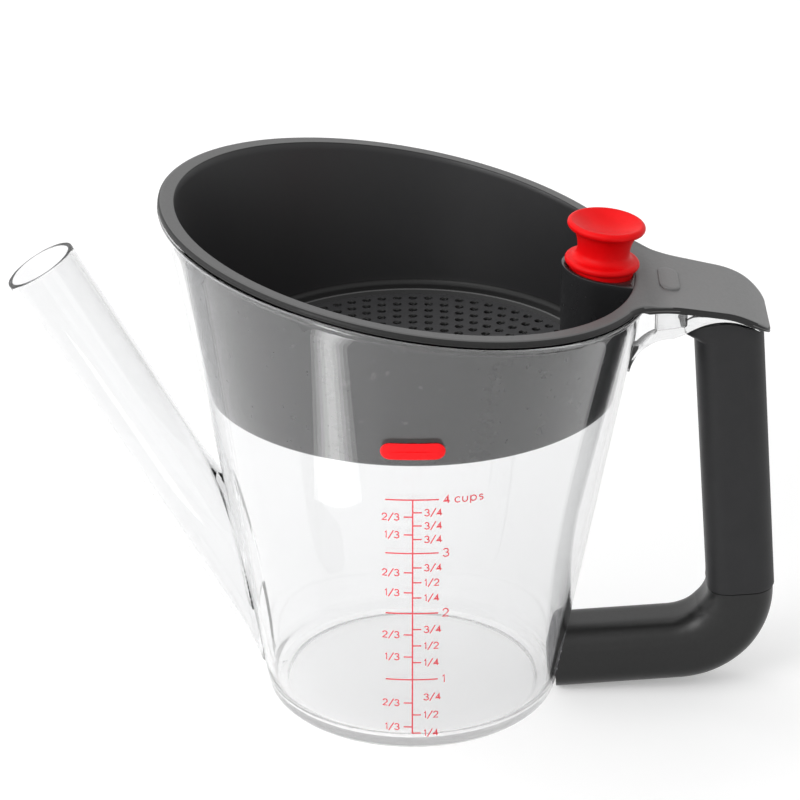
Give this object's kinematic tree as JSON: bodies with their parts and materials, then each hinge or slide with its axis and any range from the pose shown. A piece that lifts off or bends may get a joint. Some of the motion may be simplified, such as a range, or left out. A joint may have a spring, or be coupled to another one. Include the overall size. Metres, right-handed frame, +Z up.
{
  "type": "gravy fat separator",
  "caption": "Clear measuring jug with a low straight spout for pouring gravy from under its fat, with a lift-out strainer, a stopper and a side handle.",
  "frame": {"origin": "centre of the jug's foot, on the surface it stands on", "axes": "+Z up out of the jug, +X towards the handle, the spout points to -X, +Y completes the frame"},
  "size_m": [0.2489, 0.1564, 0.1756],
  "materials": {
    "clear_plastic": "clear moulded plastic, polished",
    "black_plastic": "satin",
    "soft_grip": "soft matte",
    "strainer_plastic": "satin with polished inner walls",
    "red_silicone": "satin",
    "red_print": "printed ink",
    "red_badge": "printed ink"
  },
  "bodies": {
    "jug": {"jug_wall": "clear_plastic", "jug_foot": "clear_plastic", "rim_bead": "clear_plastic", "spout_tube": "clear_plastic", "handle_bracket": "clear_plastic", "arm_peg": "clear_plastic", "handle_arm": "black_plastic", "handle_core": "black_plastic", "grip_collar": "black_plastic", "grip_sleeve": "soft_grip", "cup_scale": "red_print", "wall_badge": "red_badge"},
    "strainer": {"strainer_wall": "strainer_plastic", "strainer_floor": "strainer_plastic", "floor_border": "strainer_plastic", "strainer_rim": "strainer_plastic", "stopper_socket": "strainer_plastic", "thumb_tab": "strainer_plastic", "tab_badge": "strainer_plastic"},
    "stopper": {"stopper": "red_silicone"}
  },
  "joints": [
    {"name": "strainer_lift", "type": "slide", "parent": "jug", "child": "strainer", "axis": [0, 0, 1], "range_m": [0, 0.085]},
    {"name": "stopper_pull", "type": "slide", "parent": "strainer", "child": "stopper", "axis": [0.0906, 0, 0.9959], "range_m": [0, 0.02]}
  ]
}
